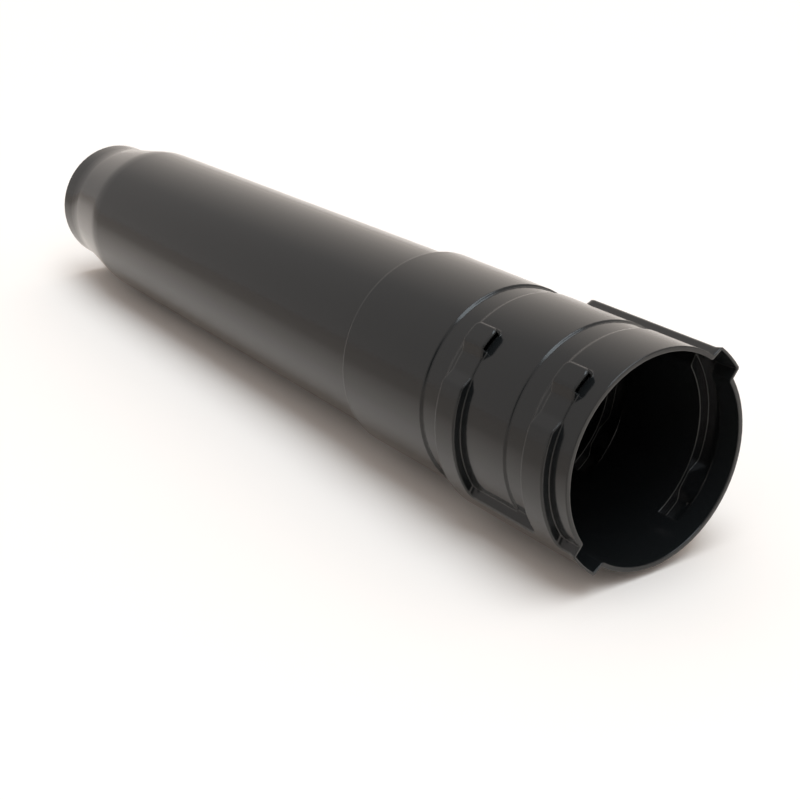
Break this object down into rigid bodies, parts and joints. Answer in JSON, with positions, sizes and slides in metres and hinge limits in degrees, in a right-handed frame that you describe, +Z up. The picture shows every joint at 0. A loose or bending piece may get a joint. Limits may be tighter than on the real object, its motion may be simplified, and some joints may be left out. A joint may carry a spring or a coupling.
{
  "type": "leaf blower nozzle tube",
  "caption": "Long tapered moulded tube with a narrow round outlet and a wide twist-lock socket with raised hollow tracks.",
  "frame": {"origin": "centre of the footprint of the tube's bounding box, on the ground the tube lies on", "axes": "+X along the tube towards the socket mouth, +Z up, the latch windows seen in the picture on the -Y side"},
  "size_m": [0.5172, 0.1086, 0.104],
  "materials": {
    "nozzle_tube": "satin black moulded plastic"
  },
  "bodies": {
    "root": {"nozzle_tube": "nozzle_tube"}
  },
  "joints": []
}
